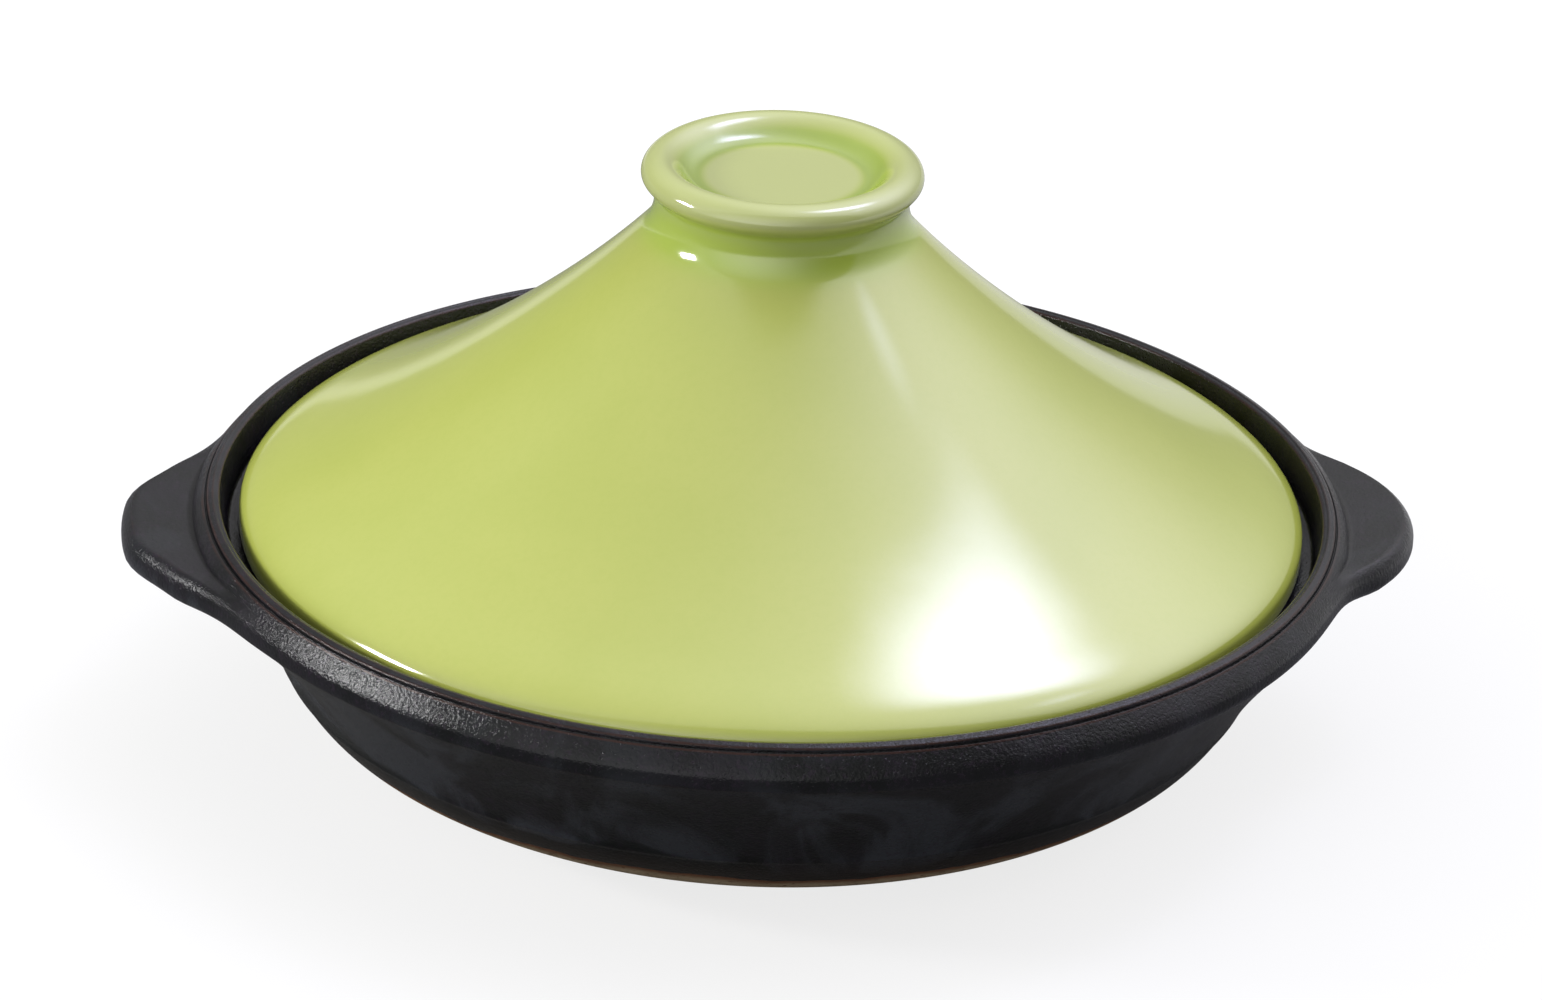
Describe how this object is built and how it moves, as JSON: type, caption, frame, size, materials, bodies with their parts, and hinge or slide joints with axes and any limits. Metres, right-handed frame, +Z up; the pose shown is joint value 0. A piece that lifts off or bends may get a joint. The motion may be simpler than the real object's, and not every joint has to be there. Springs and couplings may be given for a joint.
{
  "type": "tagine",
  "caption": "Stoneware tagine: a round black dish with lug handles and a green flared cone lid with a dished ring knob.",
  "frame": {"origin": "on the table under the middle of the dish", "axes": "+Z up, the lug handles along X, the side that faces a cook towards -Y"},
  "size_m": [0.3032, 0.2706, 0.1456],
  "materials": {
    "dish_glaze": "satin",
    "lid_glaze": "gloss"
  },
  "bodies": {
    "dish": {"dish": "dish_glaze"},
    "lid": {"lid": "lid_glaze"}
  },
  "joints": [
    {"name": "lid_lift", "type": "slide", "parent": "dish", "child": "lid", "axis": [0, 0, 1], "range_m": [0, 0.15]}
  ]
}
